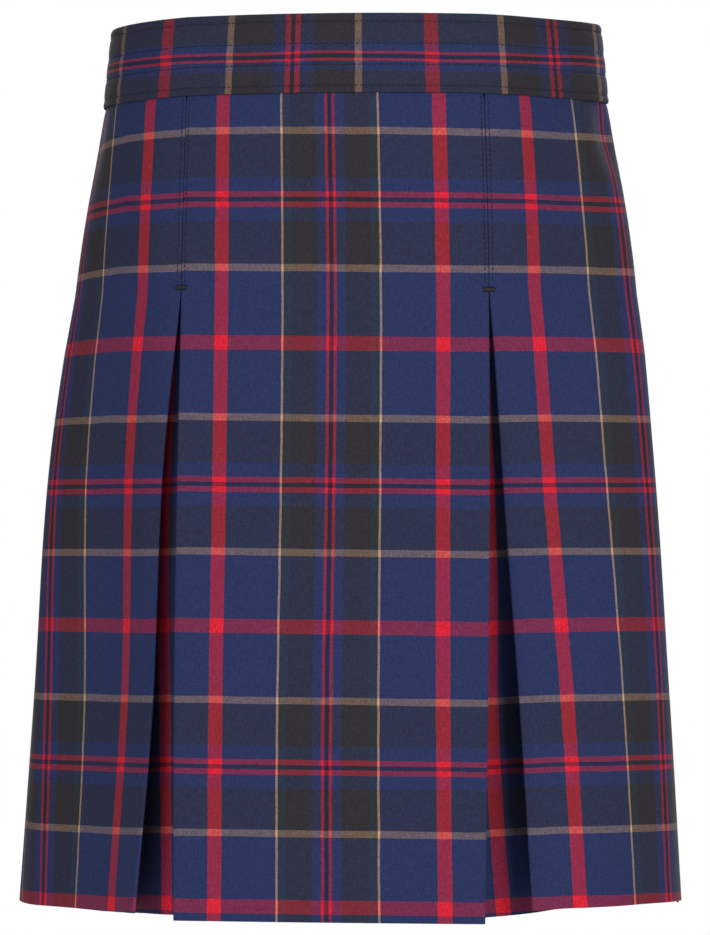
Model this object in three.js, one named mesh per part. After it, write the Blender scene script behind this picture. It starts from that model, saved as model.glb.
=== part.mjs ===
// A school skirt in woven tartan: an A-line front with two inverted kick pleats that are
// stitched down from the waist, a plain gathered back, and a waistband in two pieces.
// Millimetres, +Z up. The front faces -Y and +X is on the right of someone looking at it.
// The origin is the middle of the waistband ring, at half the band's height.
import * as THREE from 'three';

// Driving sizes
const BAND_HEIGHT = 38;
const BODY_LENGTH = 390;
const CLOTH_WALL = 1;
const BAND_WALL = 3;
const BAND_PROUD = 1;
const SEAM_GAP = 0.3;
const BAND_TOP_SCALE = 0.968;

// Pleats: each has two returns and an underlay as wide as both, pressed flat above the tack
const TACK_DROP = 93;
const LAYER_PITCH = 1.5;
const FOLD_SLIT = 0.4;

// Side panels: where their headings are given, measured from the pleat's edge
const NEAR_REACH = 21;
const MID_REACH = 51;
const FAR_REACH = 75;
const CORNER_REACH = 88;

// Gathers and soft folds of the back
const GATHER_COUNT = 17;
const GATHER_DEPTH = 1.5;
const GATHER_FADE = 60;
const FOLD_GROWTH = 1.2;
const SEAM_FADE_SHARE = 1 / 12;
const BAND_RUCK_COUNT = 34;
const BAND_RUCK_DEPTH = 1.1;

// Mesh steps
const PLEAT_ROWS = 4;
const OPEN_ROWS = 10;
const CENTRE_STEPS = 5;
const RETURN_STEPS = 4;
const UNDERLAY_STEPS = 8;
const FOLD_STEPS = 4;
const SIDE_STEPS = 10;
const BACK_STEPS = 72;
const BACK_ROWS = 10;
const BAND_ROWS = 2;
const STEPS_A_RUCK = 4;
const FINE = 12;

const OUTWARD = 1;
const INWARD = -1;
const radians = THREE.MathUtils.degToRad;

// The front from waist seam to hem. Lengths in millimetres, headings in degrees: 0 runs
// across the front, 90 runs straight back.
const FRONT = {
  drop: [0, 93, 176, 300, 390],
  depth: [94, 98, 105, 119, 128],
  drift: [0, 1.5, 2.5, 3.2, 4],
};
const RIGHT_SIDE = {
  panel: [73.9, 74.6, 75, 75, 74],
  edge: [22, 7, 2, 2, 2],
  across: [0, 0, 3.6, 12.5, 18.8],
  back: [0, 0, 8, 17, 21],
  swing: [0, 0, 12, 14, 30],
  nearReturn: [44.2, 44.2, 44.2, 44.2, 44.2],
  farReturn: [44.2, 44.2, 44.2, 44.2, 44.2],
  fold: [25, 15, 9, 5, 4],
  near: [47, 36, 30, 24, 22],
  mid: [48, 39, 38, 43, 48],
  far: [67, 50, 50, 55, 57],
  corner: [103, 98, 95, 90, 87],
  seam: [105, 103, 102, 102, 103],
  reach: [103, 122, 128, 135, 138],
};
const LEFT_SIDE = {
  panel: [70.3, 71, 72, 72, 71.5],
  edge: [20, 7, 2, 2, 2],
  across: [0, 0, 7.2, 12.6, 21],
  back: [0, 0, 8, 17, 21],
  swing: [0, 0, 19, 25.5, 30],
  nearReturn: [36, 36, 36, 36, 36],
  farReturn: [52.4, 52.4, 52.4, 52.4, 52.4],
  fold: [19, 14, 21, 36, 54],
  near: [36, 36, 43, 50, 49],
  mid: [56, 44, 36, 33, 40],
  far: [78, 57, 43, 29, 35],
  corner: [83, 86, 84, 70, 57],
  seam: [83, 89, 95, 97, 97],
  reach: [105, 121, 125, 129, 132],
};

// The back: how far it stands from the middle, and its soft folds, which grow toward the hem
const BACK_DEPTH = [84, 95, 101, 108, 113];
const BACK_FULLNESS = 1.6;
const BACK_FOLDS = [
  { place: 0.13, width: 0.034, depth: 3 },
  { place: 0.27, width: 0.042, depth: -5 },
  { place: 0.4, width: 0.036, depth: 6.5 },
  { place: 0.53, width: 0.045, depth: -6 },
  { place: 0.66, width: 0.038, depth: 6 },
  { place: 0.78, width: 0.04, depth: -4.5 },
  { place: 0.9, width: 0.03, depth: 3 },
];

// A smooth curve through a column's values, read at any drop below the waist seam
function readColumn(column, drop) {
  const stations = FRONT.drop;
  const last = stations.length - 1;
  let i = 0;
  while (i < last - 1 && drop > stations[i + 1]) i += 1;
  const slope = (k) => (column[k + 1] - column[k]) / (stations[k + 1] - stations[k]);
  const tangent = (k) => {
    if (k === 0) return slope(0);
    if (k === last) return slope(last - 1);
    const before = stations[k] - stations[k - 1];
    const after = stations[k + 1] - stations[k];
    return (slope(k - 1) * after + slope(k) * before) / (before + after);
  };
  const span = stations[i + 1] - stations[i];
  const t = (drop - stations[i]) / span;
  const h = THREE.MathUtils.lerp;
  const straight = h(column[i], column[i + 1], t);
  const bendStart = tangent(i) - slope(i);
  const bendEnd = tangent(i + 1) - slope(i);
  return straight + span * t * (1 - t) * (bendStart * (1 - t) - bendEnd * t);
}

// A pleat is shut above its tack, so its openings never read below nothing
function readSide(table, drop) {
  const row = {};
  for (const [name, column] of Object.entries(table)) row[name] = readColumn(column, drop);
  const shut = drop <= TACK_DROP;
  for (const name of ['across', 'back', 'swing']) row[name] = shut ? 0 : Math.max(0, row[name]);
  return row;
}

// Points in the plane carry the heading of the cloth
const point = (x, y, heading) => ({ x, y, heading });

function shifted(p, amount, heading = p.heading) {
  return point(p.x + Math.sin(heading) * amount, p.y - Math.cos(heading) * amount, heading);
}

function follow(start, headingAt, length, steps) {
  const points = [point(start.x, start.y, headingAt(0))];
  const stride = length / steps / FINE;
  let { x, y } = start;
  for (let i = 0; i < steps; i++) {
    for (let k = 0; k < FINE; k++) {
      const heading = headingAt((i * FINE + k + 0.5) * stride);
      x += Math.cos(heading) * stride;
      y += Math.sin(heading) * stride;
    }
    points.push(point(x, y, headingAt((i + 1) * FINE * stride)));
  }
  return points;
}

function blendHeading(stations, headings, distance) {
  let i = 0;
  while (i < stations.length - 2 && distance > stations[i + 1]) i += 1;
  const t = (distance - stations[i]) / (stations[i + 1] - stations[i]);
  return radians(THREE.MathUtils.lerp(headings[i], headings[i + 1], t));
}

// The centre panel's half, from the middle of the front to the pleat's edge
function centreCurve(drop, row, length, steps) {
  const start = { x: 0, y: -readColumn(FRONT.depth, drop) };
  return follow(start, (s) => radians(row.edge * s / row.panel), length, steps);
}

// The side panel, from the pleat's edge to the side seam
function sideCurve(start, row, length, steps) {
  const stations = [0, NEAR_REACH, MID_REACH, FAR_REACH, CORNER_REACH, row.reach];
  const headings = [row.fold, row.near, row.mid, row.far, row.corner, row.seam];
  return follow(start, (s) => blendHeading(stations, headings, s), length, steps);
}

// The centre of the fold at a layer's edge, halfway to the next layer in
const foldCentre = (edge, layer) => shifted(edge, -LAYER_PITCH * (layer + 0.5));

// Where the side panel starts: just past the centre panel's folded edge, and further once open
function sideStart(edge, row) {
  const fold = foldCentre(edge, 0);
  const apart = LAYER_PITCH + CLOTH_WALL + FOLD_SLIT;
  const x = fold.x + Math.cos(edge.heading) * apart + row.across;
  const y = fold.y + Math.sin(edge.heading) * apart + row.back;
  return shifted(point(x, y, radians(row.fold)), LAYER_PITCH / 2);
}

const distance = (a, b) => Math.hypot(b.x - a.x, b.y - a.y);
const direction = (a, b) => Math.atan2(b.y - a.y, b.x - a.x);

// Moves a length of cloth stiffly so that one end lands on a new place and it turns by an angle
function carry(points, from, to, turn) {
  const c = Math.cos(turn);
  const s = Math.sin(turn);
  return points.map((p) => {
    const x = p.x - from.x;
    const y = p.y - from.y;
    return point(to.x + c * x - s * y, to.y + s * x + c * y, p.heading + turn);
  });
}

// The round of a fold about its centre, between the cloth that ends there and starts there
function roundFold(centre, from, to, sense) {
  const start = direction(centre, from);
  let end = direction(centre, to);
  if (sense > 0 && end < start) end += 2 * Math.PI;
  if (sense < 0 && end > start) end -= 2 * Math.PI;
  const radius = (distance(centre, from) + distance(centre, to)) / 2;
  const points = [];
  for (let i = 1; i < FOLD_STEPS; i++) {
    const angle = THREE.MathUtils.lerp(start, end, i / FOLD_STEPS);
    const x = centre.x + radius * Math.cos(angle);
    const y = centre.y + radius * Math.sin(angle);
    points.push(point(x, y, angle + sense * Math.PI / 2));
  }
  return points;
}

// The pleat's hidden cloth as it lies pressed flat: two returns, an underlay and their folds
function pressedPleat(drop, table) {
  const row = readSide(table, drop);
  const centre = centreCurve(drop, row, row.panel, CENTRE_STEPS);
  const edge = centre.at(-1);
  const backwards = (s) => radians(row.edge * (row.panel - s) / row.panel);
  const inner = follow({ x: 0, y: 0 }, backwards, row.nearReturn, RETURN_STEPS)
    .map((p) => point(edge.x - p.x, edge.y - p.y, p.heading));
  const side = sideCurve(sideStart(edge, row), row, row.farReturn, RETURN_STEPS);
  const half = UNDERLAY_STEPS / RETURN_STEPS;
  const lower = [...inner].reverse().concat(side).map((p) => shifted(p, -2 * LAYER_PITCH));
  const underlay = [];
  for (let i = 0; i < lower.length - 1; i++) {
    for (let k = 0; k < half; k++) underlay.push(between(lower[i], lower[i + 1], k / half));
  }
  underlay.push(lower.at(-1));
  return {
    edge,
    nearReturn: inner.map((p) => shifted(p, -LAYER_PITCH)),
    farReturn: [...side].reverse().map((p) => shifted(p, -LAYER_PITCH)),
    underlay,
    folds: [foldCentre(edge, 0), foldCentre(inner.at(-1), 1), foldCentre(side.at(-1), 1),
      foldCentre(side[0], 0)],
  };
}

function between(a, b, t) {
  const mix = THREE.MathUtils.lerp;
  return point(mix(a.x, b.x, t), mix(a.y, b.y, t), mix(a.heading, b.heading, t));
}

// Where two links of fixed length meet, on the inner side of the pleat
function linkMeeting(a, reachA, b, reachB) {
  const apart = distance(a, b);
  const along = (reachA ** 2 - reachB ** 2 + apart ** 2) / (2 * apart);
  const aside = Math.sqrt(Math.max(0, reachA ** 2 - along ** 2));
  const heading = direction(a, b);
  const x = a.x + along * Math.cos(heading) - aside * Math.sin(heading);
  const y = a.y + along * Math.sin(heading) + aside * Math.cos(heading);
  return { x, y };
}

// Half of the front at one height, from the middle to the side seam, folds and all
function halfFront(drop, table) {
  const row = readSide(table, drop);
  const centre = centreCurve(drop, row, row.panel, CENTRE_STEPS);
  const edge = centre.at(-1);
  const start = sideStart(edge, row);
  const side = sideCurve(start, row, row.reach, SIDE_STEPS);
  const pressed = pressedPleat(Math.min(drop, TACK_DROP), table);
  const [wasFirst, wasInner, wasOuter, wasLast] = pressed.folds;
  const first = foldCentre(edge, 0);
  const last = foldCentre(start, 0);
  const swing = edge.heading - pressed.edge.heading - radians(row.swing);
  const [inner] = carry([wasInner], wasFirst, first, swing);
  const outer = linkMeeting(inner, distance(wasInner, wasOuter), last, distance(wasLast, wasOuter));
  const nearReturn = carry(pressed.nearReturn, wasFirst, first, swing);
  const underTurn = direction(inner, outer) - direction(wasInner, wasOuter);
  const underlay = carry(pressed.underlay, wasInner, inner, underTurn);
  const farTurn = direction(last, outer) - direction(wasLast, wasOuter);
  const farReturn = carry(pressed.farReturn, wasLast, last, farTurn);
  return [
    ...centre,
    ...roundFold(first, edge, nearReturn[0], OUTWARD),
    ...nearReturn,
    ...roundFold(inner, nearReturn.at(-1), underlay[0], INWARD),
    ...underlay,
    ...roundFold(outer, underlay.at(-1), farReturn[0], INWARD),
    ...farReturn,
    ...roundFold(last, farReturn.at(-1), side[0], OUTWARD),
    ...side,
  ];
}

// Half of the waist line with the pleats shut and left out, which the waistband follows
function halfWaist(table) {
  const row = readSide(table, 0);
  const centre = centreCurve(0, row, row.panel, CENTRE_STEPS);
  const side = sideCurve(sideStart(centre.at(-1), row), row, row.reach, SIDE_STEPS);
  return [...centre, ...side.slice(1)];
}

// Joins the two halves into one run from the left side seam to the right one
function joinHalves(leftHalf, rightHalf, drift) {
  const left = leftHalf.slice(1).reverse().map((p) => point(drift - p.x, p.y));
  const right = rightHalf.map((p) => point(drift + p.x, p.y));
  return [...left, ...right];
}

function frontRun(drop) {
  const drift = readColumn(FRONT.drift, drop);
  return joinHalves(halfFront(drop, LEFT_SIDE), halfFront(drop, RIGHT_SIDE), drift);
}

const waistRun = () => joinHalves(halfWaist(LEFT_SIDE), halfWaist(RIGHT_SIDE), 0);

// The bare line of the back at one height, from the right side seam round to the left one
function backLine(front, depth, steps) {
  const right = front.at(-1);
  const left = front[0];
  const rightHeading = direction(front.at(-2), right);
  const leftHeading = direction(left, front[1]);
  const middle = { x: (left.x + right.x) / 2, y: depth };
  const reachOut = BACK_FULLNESS * (depth - (left.y + right.y) / 2);
  const reachAcross = BACK_FULLNESS * (right.x - left.x) / 2;
  const half = (a, aHeading, aReach, b, bHeading, bReach, t) => {
    const t2 = t * t;
    const t3 = t2 * t;
    const parts = [2 * t3 - 3 * t2 + 1, t3 - 2 * t2 + t, 3 * t2 - 2 * t3, t3 - t2];
    const x = parts[0] * a.x + parts[1] * aReach * Math.cos(aHeading)
      + parts[2] * b.x + parts[3] * bReach * Math.cos(bHeading);
    const y = parts[0] * a.y + parts[1] * aReach * Math.sin(aHeading)
      + parts[2] * b.y + parts[3] * bReach * Math.sin(bHeading);
    return { x, y };
  };
  const points = [];
  for (let i = 0; i <= steps; i++) {
    const t = 2 * i / steps;
    points.push(t <= 1
      ? half(right, rightHeading, reachOut, middle, Math.PI, reachAcross, t)
      : half(middle, Math.PI, reachAcross, left, leftHeading, reachOut, t - 1));
  }
  return points;
}

// Fades to nothing at the two side seams
const seamFade = (share) => Math.min(1, Math.min(share, 1 - share) / SEAM_FADE_SHARE);

function backSwell(share, drop) {
  const gather = Math.sin(2 * Math.PI * GATHER_COUNT * share) * Math.exp(-drop / GATHER_FADE);
  let swell = GATHER_DEPTH * gather;
  const growth = (drop / BODY_LENGTH) ** FOLD_GROWTH;
  for (const fold of BACK_FOLDS) {
    swell += fold.depth * growth * Math.exp(-(((share - fold.place) / fold.width) ** 2));
  }
  return swell * seamFade(share);
}

// Outward direction at each point of a run, from its neighbours
function outwards(run) {
  return run.map((_, i) => {
    const before = run[Math.max(0, i - 1)];
    const after = run[Math.min(run.length - 1, i + 1)];
    const length = distance(before, after);
    return { x: (after.y - before.y) / length, y: (before.x - after.x) / length };
  });
}

function offsetRun(run, amountAt) {
  const normals = outwards(run);
  return run.map((p, i) => {
    const amount = amountAt(i / (run.length - 1));
    return { x: p.x + normals[i].x * amount, y: p.y + normals[i].y * amount };
  });
}

// Takes a little off both ends of a run, so that two pieces stay apart at the side seams
function trimEnds(run, amount) {
  const trimmed = [...run];
  const cut = (a, b) => {
    const t = amount / distance(a, b);
    return { x: a.x + (b.x - a.x) * t, y: a.y + (b.y - a.y) * t };
  };
  trimmed[0] = cut(run[0], run[1]);
  trimmed[run.length - 1] = cut(run.at(-1), run.at(-2));
  return trimmed;
}

const lift = (run, z) => run.map((p) => new THREE.Vector3(p.x, p.y, z));

// A closed wall from two grids of points, outer and inner, whose rows run from top to bottom
function wallGeometry(outer, inner) {
  const rows = outer.length;
  const columns = outer[0].length;
  const positions = [...outer.flat(), ...inner.flat()].flatMap((p) => [p.x, p.y, p.z]);
  const index = [];
  const out = (r, c) => r * columns + c;
  const inn = (r, c) => rows * columns + out(r, c);
  const quad = (a, b, c, d) => index.push(a, b, c, a, c, d);
  for (let r = 0; r < rows - 1; r++) {
    for (let c = 0; c < columns - 1; c++) {
      quad(out(r, c), out(r + 1, c), out(r + 1, c + 1), out(r, c + 1));
      quad(inn(r, c), inn(r, c + 1), inn(r + 1, c + 1), inn(r + 1, c));
    }
    quad(inn(r, 0), inn(r + 1, 0), out(r + 1, 0), out(r, 0));
    quad(out(r, columns - 1), out(r + 1, columns - 1), inn(r + 1, columns - 1), inn(r, columns - 1));
  }
  for (let c = 0; c < columns - 1; c++) {
    quad(inn(0, c), out(0, c), out(0, c + 1), inn(0, c + 1));
    quad(out(rows - 1, c), inn(rows - 1, c), inn(rows - 1, c + 1), out(rows - 1, c + 1));
  }
  const geometry = new THREE.BufferGeometry();
  geometry.setAttribute('position', new THREE.Float32BufferAttribute(positions, 3));
  geometry.setIndex(index);
  geometry.computeVertexNormals();
  return geometry;
}

// Heights of the waist seam and the drops at which the front and back have their rows
const BODY_TOP = -BAND_HEIGHT / 2 - SEAM_GAP;
const evenly = (from, to, steps) => {
  const stride = (to - from) / steps;
  return Array.from({ length: steps + 1 }, (_, i) => from + stride * i);
};
const STITCHED_DROPS = evenly(0, TACK_DROP, PLEAT_ROWS);
const FRONT_DROPS = [...STITCHED_DROPS, ...evenly(TACK_DROP, BODY_LENGTH, OPEN_ROWS).slice(1)];
const BACK_DROPS = evenly(0, BODY_LENGTH, BACK_ROWS);

function clothWall(drops, runAt) {
  const half = CLOTH_WALL / 2;
  const grid = (amount) => drops.map((drop) => {
    const run = runAt(drop);
    return lift(offsetRun(run, () => amount), BODY_TOP - drop);
  });
  return wallGeometry(grid(half), grid(-half));
}

const frontGeometry = () => clothWall(FRONT_DROPS, (drop) => trimEnds(frontRun(drop), SEAM_GAP / 2));

function backRun(drop) {
  const line = backLine(frontRun(drop), readColumn(BACK_DEPTH, drop), BACK_STEPS);
  return trimEnds(offsetRun(line, (share) => backSwell(share, drop)), SEAM_GAP / 2);
}

const backGeometry = () => clothWall(BACK_DROPS, backRun);

// The waistband leans in a little toward its top
function bandWall(run, outerAt) {
  const grid = (amountAt) => evenly(0, 1, BAND_ROWS).map((share) => {
    const scale = THREE.MathUtils.lerp(BAND_TOP_SCALE, 1, share);
    const leaning = run.map((p) => ({ x: p.x * scale, y: p.y * scale }));
    const z = BAND_HEIGHT * (0.5 - share);
    return lift(offsetRun(leaning, amountAt), z);
  });
  return wallGeometry(grid(outerAt), grid(() => BAND_PROUD - BAND_WALL));
}

const bandFrontGeometry = () => bandWall(trimEnds(waistRun(), SEAM_GAP / 2), () => BAND_PROUD);

function bandBackGeometry() {
  const line = backLine(waistRun(), BACK_DEPTH[0], BAND_RUCK_COUNT * STEPS_A_RUCK);
  const wave = (share) => Math.sin(Math.PI * BAND_RUCK_COUNT * share) ** 2;
  const ruck = (share) => BAND_RUCK_DEPTH * wave(share) * seamFade(share);
  return bandWall(trimEnds(line, SEAM_GAP / 2), (share) => BAND_PROUD + ruck(share));
}

// Woven cloth: the body and the band are cut from the same tartan
const cloth = (color) => new THREE.MeshStandardMaterial({ color, roughness: 0.85, metalness: 0 });
const NAVY = '#2f375d';
const DARK_NAVY = '#2b2f4a';

const skirt = new THREE.Group();
const pieces = {
  skirt_front: [frontGeometry(), cloth(NAVY)],
  skirt_back: [backGeometry(), cloth(NAVY)],
  waistband_front: [bandFrontGeometry(), cloth(DARK_NAVY)],
  waistband_back: [bandBackGeometry(), cloth(DARK_NAVY)],
};
for (const [name, [geometry, material]] of Object.entries(pieces)) {
  const mesh = new THREE.Mesh(geometry, material);
  mesh.name = name;
  skirt.add(mesh);
}

export default skirt;
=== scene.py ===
import math

import bpy
import numpy as np
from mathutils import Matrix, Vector


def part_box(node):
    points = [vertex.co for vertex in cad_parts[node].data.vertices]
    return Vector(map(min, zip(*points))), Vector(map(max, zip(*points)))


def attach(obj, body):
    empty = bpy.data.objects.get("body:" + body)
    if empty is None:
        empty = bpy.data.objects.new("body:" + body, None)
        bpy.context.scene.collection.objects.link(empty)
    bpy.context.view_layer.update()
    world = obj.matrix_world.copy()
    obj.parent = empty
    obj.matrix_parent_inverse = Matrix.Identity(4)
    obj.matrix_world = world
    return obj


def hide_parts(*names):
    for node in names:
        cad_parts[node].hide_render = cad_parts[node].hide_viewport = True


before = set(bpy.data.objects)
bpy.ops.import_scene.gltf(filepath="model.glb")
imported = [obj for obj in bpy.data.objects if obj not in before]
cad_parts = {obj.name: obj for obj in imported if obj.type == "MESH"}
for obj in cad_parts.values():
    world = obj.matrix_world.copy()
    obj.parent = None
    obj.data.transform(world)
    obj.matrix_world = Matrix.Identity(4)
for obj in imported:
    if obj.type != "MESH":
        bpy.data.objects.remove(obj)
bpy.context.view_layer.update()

# A tartan school skirt. Sizes are in millimetres and turn into metres where a mesh is made.
MM = 0.001


def heights(node):
    """How low and how high a node of the frame reaches, in millimetres."""
    low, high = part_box(node)
    return low[2] / MM, high[2] / MM


HEM_Z, WAIST_Z = heights("skirt_front")
BAND_BOTTOM_Z, BAND_TOP_Z = heights("waistband_front")
BODY_LENGTH = WAIST_Z - HEM_Z
BAND_HEIGHT = BAND_TOP_Z - BAND_BOTTOM_Z

# Cloth, its hem and its seams
CLOTH = 0.5
TURN_UP = 30.0
TURN_UP_THICK = 0.3
TURN_UP_EDGE = 0.15
ALLOWANCE = 12.0
SEAM_ROUND = 0.55
SEAM_GAP = 0.3

# At the waist seam the body is drawn in and tucked up into the band
TUCK_UP = 3.0
DRAWN_IN = 0.5
DRAWN_IN_FADE = 2.2

# Pleats: where they are tacked, how their layers lie, and where headings are given along a side
TACK_DROP = 93.0
LAYER_PITCH = 1.5
STITCHED_SLIT = 0.05
OPEN_SLIT = 0.9
OPENING_RUN = 30.0
NEAR_REACH = 21.0
MID_REACH = 51.0
FAR_REACH = 75.0
CORNER_REACH = 88.0
UNDERLAY_MIDDLE = 161.7
STITCHED_CREASE = 0.8
# Painted highlight, a lighter line painted along a side panel's folded edge: how far before the edge
# its middle lies and how wide it is
HIGHLIGHT_BEFORE = 0.95
HIGHLIGHT_WIDTH = 0.42
OUTWARD, INWARD = 1, -1

# The front's sections from waist seam to hem. Headings are in degrees: 0 runs across the front,
# 90 straight back. The last five columns of a side place the tartan and the painted highlight on the
# folded edge.
DROPS = (0, 93, 176, 300, 390)
FRONT = {
    "depth": (94, 98, 105, 119, 128),
    "drift": (0, 1.5, 2.5, 3.2, 4),
    "weft_down": (0.8, 3.0, 3.4, 1.9, -1.0),
    "weft_tilt": (0.8, 0.9, 0.9, 0.5, 0.1),
}
RIGHT_SIDE = {
    "panel": (73.9, 74.6, 75, 75, 74),
    "edge": (22, 7, 2, 2, 2),
    "across": (0, 0, 3.6, 12.5, 18.8),
    "back": (0, 0, 8, 17, 21),
    "swing": (0, 0, 12, 14, 30),
    "fold": (25, 15, 9, 5, 4),
    "near": (47, 36, 30, 24, 22),
    "mid": (48, 39, 38, 43, 48),
    "far": (67, 50, 50, 55, 57),
    "corner": (103, 98, 95, 90, 87),
    "seam": (105, 103, 102, 102, 103),
    "reach": (103, 122, 128, 135, 138),
    "near_return": (44.2, 44.2, 44.2, 44.2, 44.2),
    "far_return": (44.2, 44.2, 44.2, 44.2, 44.2),
    "second_edge": (248.5, 247.8, 247.8, 247.4, 247.5),
    "middle": (-0.9, -1.2, -0.6, -0.1, -0.5),
    "wide": (52.7, 54.0, 54.0, 55.2, 56.5),
    "underlay": (3, 3, 3.6, -0.2, 0),
    # Strength of the painted highlight along the folded edge: none on the right
    "painted_highlight": (0, 0, 0, 0, 0),
}
LEFT_SIDE = {
    "panel": (70.3, 71, 72, 72, 71.5),
    "edge": (20, 7, 2, 2, 2),
    "across": (0, 0, 7.2, 12.6, 21),
    "back": (0, 0, 8, 17, 21),
    "swing": (0, 0, 19, 25.5, 30),
    "fold": (19, 14, 21, 36, 54),
    "near": (36, 36, 43, 50, 49),
    "mid": (56, 44, 36, 33, 40),
    "far": (78, 57, 43, 29, 35),
    "corner": (83, 86, 84, 70, 57),
    "seam": (83, 89, 95, 97, 97),
    "reach": (105, 121, 125, 129, 132),
    "near_return": (36, 36, 36, 36, 36),
    "far_return": (52.4, 52.4, 52.4, 52.4, 52.4),
    "second_edge": (249.2, 248.2, 248.2, 248.5, 248.5),
    "middle": (0.9, 1.2, 0.6, 0.1, 0.5),
    "wide": (51.6, 52.0, 52.5, 52.9, 52.8),
    "underlay": (0, 0, 0, 0, 0),
    # Strength of the painted highlight along the folded edge, on the left below the tack
    "painted_highlight": (0, 0, 1, 1, 1),
}
BACK_DEPTH = (84, 95, 101, 108, 113)
BACK_FULLNESS = 1.6

# Soft folds of the back, by their share of the way round, and how fast they grow downwards
BACK_FOLDS = (
    {"place": 0.13, "width": 0.034, "depth": 3.0},
    {"place": 0.27, "width": 0.042, "depth": -5.0},
    {"place": 0.40, "width": 0.036, "depth": 6.5},
    {"place": 0.53, "width": 0.045, "depth": -6.0},
    {"place": 0.66, "width": 0.038, "depth": 6.0},
    {"place": 0.78, "width": 0.040, "depth": -4.5},
    {"place": 0.90, "width": 0.030, "depth": 3.0},
)
BACK_FOLD_GROWTH = 1.2

# Gathers below the elastic and rucks over it. Their unevenness comes from slow waves, each with
# its height, its count along the piece and its start.
GATHER_COUNT = 17
GATHER_DEPTH = 1.5
GATHER_FADE = 60.0
GATHER_WANDER = ((0.9, 3.1, 0.4), (0.6, 7.3, 0.0))
GATHER_UNEVEN = ((0.35, 4.7, 1.0),)
GATHER_REACH = ((0.3, 5.9, 2.0),)
RUCK_COUNT = 34
RUCK_DEPTH = 1.1
FRONT_RUCK_DEPTH = 0.06
RUCK_UNEVEN = ((0.3, 6.1, 0.7),)
SEAM_FADE = 12

# Soft troughs, with a depth below zero, and ridges of the cloth: where they lie, how long and
# wide they are, and how far each leans sideways for every millimetre of drop
FRONT_CREASES = (
    {"at": 323, "drop": 16, "length": 17, "width": 8, "depth": -3.0, "lean": 0.1},
    {"at": 310, "drop": 36, "length": 24, "width": 9, "depth": 0.9, "lean": 0.2},
    {"at": 292, "drop": 30, "length": 32, "width": 6, "depth": -0.5, "lean": 0.1},
    {"at": 318, "drop": 190, "length": 100, "width": 24, "depth": 1.8, "lean": 0.02},
    {"at": 275, "drop": 180, "length": 70, "width": 9, "depth": -0.5, "lean": 0.05},
    {"at": 48, "drop": 40, "length": 30, "width": 9, "depth": -0.4, "lean": 0.1},
    {"at": -12, "drop": 34, "length": 26, "width": 11, "depth": -0.35, "lean": -0.1},
    {"at": -40, "drop": 250, "length": 90, "width": 16, "depth": 0.6, "lean": 0.02},
    {"at": 25, "drop": 300, "length": 80, "width": 15, "depth": -0.6, "lean": -0.02},
    {"at": -322, "drop": 18, "length": 18, "width": 9, "depth": -1.4, "lean": -0.15},
    {"at": -290, "drop": 34, "length": 30, "width": 8, "depth": -0.5, "lean": -0.1},
    {"at": -305, "drop": 200, "length": 80, "width": 14, "depth": 0.5, "lean": -0.03},
    {"at": -272, "drop": 238, "length": 75, "width": 12, "depth": -1.4, "lean": 0.0},
    {"at": -268, "drop": 150, "length": 60, "width": 8, "depth": -0.5, "lean": -0.05},
)
BACK_CREASES = (
    {"at": -150, "drop": 120, "length": 70, "width": 10, "depth": -1.2, "lean": -0.05},
    {"at": -95, "drop": 70, "length": 48, "width": 8, "depth": 1.2, "lean": -0.04},
    {"at": -60, "drop": 150, "length": 85, "width": 9, "depth": -1.1, "lean": -0.03},
    {"at": -15, "drop": 95, "length": 60, "width": 8, "depth": 1.0, "lean": 0.02},
    {"at": 34, "drop": 130, "length": 75, "width": 10, "depth": -1.3, "lean": 0.03},
    {"at": 82, "drop": 80, "length": 50, "width": 8, "depth": 1.2, "lean": 0.05},
    {"at": 140, "drop": 140, "length": 80, "width": 11, "depth": -1.2, "lean": 0.06},
)

# Topstitching: a stitch's sizes, how much stitches differ, and how it arches out of the cloth
STITCH_PITCH = 2.5
STITCH_LENGTH = 1.95
STITCH_RADIUS = 0.25
STITCH_SHIFT = 0.12
STITCH_SKEW = 0.1
STITCH_LENGTHS = (0.92, 1.06)
STITCH_ARCH = 1.35
STITCH_SUNK = 0.75
BAND_STITCH_DEPTHS = (4.0, 14.5, 24.6, 34.6)
EDGE_STITCH = 0.7
EDGE_STITCH_DROPS = {"from": 0.8, "above_tack": 1.0, "step": 1.5}

# Bar tacks
TACK_PLACES = {"left": 91.7, "right": 93.3}
TACK_LENGTH = 5.0
TACK_WIDTH = 2.6
TACK_WIDTHS = (0.86, 1.1)
TACK_RAISED = 0.5
TACK_SLANT = 0.22
TACK_THREADS = 19
TACK_THREAD_RADIUS = 0.22
TACK_SWELL = 0.05
TACK_OVERLAP = 0.4

# How many steps each length of cloth is made in, and how many rings and sides a stitch has
CENTRE_STEPS = 26
RETURN_STEPS = 14
FOLD_STEPS = 8
SIDE_STEPS = 40
ALLOWANCE_STEPS = 6
FINE = 12
BACK_POINTS = 300
BAND_POINTS = 420
BACK_BAND_POINTS = 620
ROW_STEP = 3.6
STITCH_RINGS = 6
STITCH_SIDES = 7


def read(column, drop):
    """A smooth curve through a column's values, at any drop below the waist seam."""
    last = len(DROPS) - 1
    i = 0
    while i < last - 1 and drop > DROPS[i + 1]:
        i += 1

    def slope(k):
        return (column[k + 1] - column[k]) / (DROPS[k + 1] - DROPS[k])

    def tangent(k):
        if k == 0:
            return slope(0)
        if k == last:
            return slope(last - 1)
        before, after = DROPS[k] - DROPS[k - 1], DROPS[k + 1] - DROPS[k]
        return (slope(k - 1) * after + slope(k) * before) / (before + after)

    span = DROPS[i + 1] - DROPS[i]
    t = (drop - DROPS[i]) / span
    straight = column[i] + (column[i + 1] - column[i]) * t
    bend_start, bend_end = tangent(i) - slope(i), tangent(i + 1) - slope(i)
    return straight + span * t * (1 - t) * (bend_start * (1 - t) - bend_end * t)


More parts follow.
